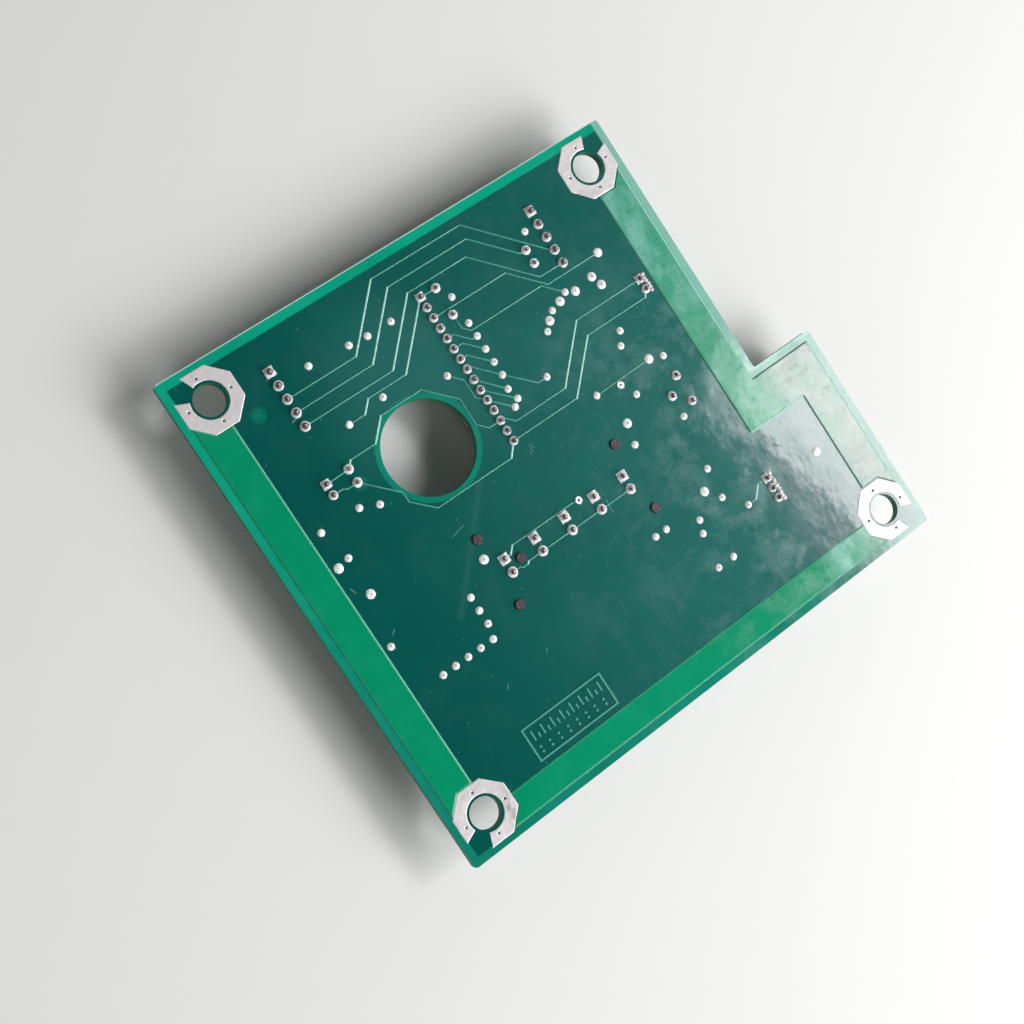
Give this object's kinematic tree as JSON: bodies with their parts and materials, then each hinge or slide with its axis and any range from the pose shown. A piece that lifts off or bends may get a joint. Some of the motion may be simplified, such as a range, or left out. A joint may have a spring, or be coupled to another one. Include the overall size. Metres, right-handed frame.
{
  "type": "relay board",
  "caption": "Flat stepped circuit board, solder side up, with tinned corner holes, a round window, plug headers, an indicator lamp row and small parts below.",
  "frame": {"origin": "centre of the board's outline rectangle, on the plane that the tallest components rest on", "axes": "+X along the board's long edge, +Y towards the edge with the two upper holes, +Z out of the solder side"},
  "size_m": [0.1026, 0.091, 0.01],
  "materials": {
    "board": "glass-epoxy laminate under a glossy green solder mask, darker where the far side is copper",
    "masked_copper": "copper strip under the same green mask, brighter than the bare laminate",
    "masked_lines": "thin copper lines under green mask, pale mint",
    "masked_pour": "copper plane under green mask",
    "tinned_pads": "hot-tinned copper, satin with light wear",
    "via_solder": "bright smooth solder domes",
    "joint_solder": "solder cones with a dull grey and pinkish flux film",
    "pin_metal": "tinned pins and wires, darker at the cut ends",
    "housing_plastic": "off-white moulded nylon",
    "black_plastic": "black moulded plastic",
    "lamp_resin": "clear cast resin lens",
    "can_metal": "drawn aluminium can",
    "bung_rubber": "black rubber",
    "disc_coating": "dipped ochre coating",
    "box_plastic": "moulded yellow box",
    "chip_ceramic": "black glazed chip"
  },
  "bodies": {
    "root": {"laminate": "board", "border_strip": "masked_copper", "traces": "masked_lines", "component_pour": "masked_pour", "corner_pads": "tinned_pads", "etched_frame": "masked_lines", "component_lines": "masked_lines", "filled_vias": "via_solder", "open_vias": "via_solder", "test_points": "via_solder", "main_header_body": "housing_plastic", "main_header_pins": "pin_metal", "main_header_joints": "joint_solder", "left_header_body": "housing_plastic", "left_header_pins": "pin_metal", "left_header_joints": "joint_solder", "right_header_body": "housing_plastic", "right_header_pins": "pin_metal", "right_header_joints": "joint_solder", "left_pair_body": "housing_plastic", "left_pair_pins": "pin_metal", "left_pair_joints": "joint_solder", "right_pair_body": "housing_plastic", "right_pair_pins": "pin_metal", "right_pair_joints": "joint_solder", "triple_body": "housing_plastic", "triple_pins": "pin_metal", "triple_joints": "joint_solder", "lamp_holder": "black_plastic", "lamp_lenses": "lamp_resin", "lamp_leads": "pin_metal", "lamp_joints": "joint_solder", "capacitor_can": "can_metal", "capacitor_bung": "bung_rubber", "capacitor_leads": "pin_metal", "capacitor_joints": "joint_solder", "disc_body": "disc_coating", "disc_leads": "pin_metal", "disc_joints": "joint_solder", "box_body": "box_plastic", "box_leads": "pin_metal", "box_joints": "joint_solder", "transistor_body": "black_plastic", "transistor_leads": "pin_metal", "transistor_joints": "joint_solder", "resistor_chips": "chip_ceramic", "resistor_ends": "joint_solder", "resistor_lands": "tinned_pads"}
  },
  "joints": []
}
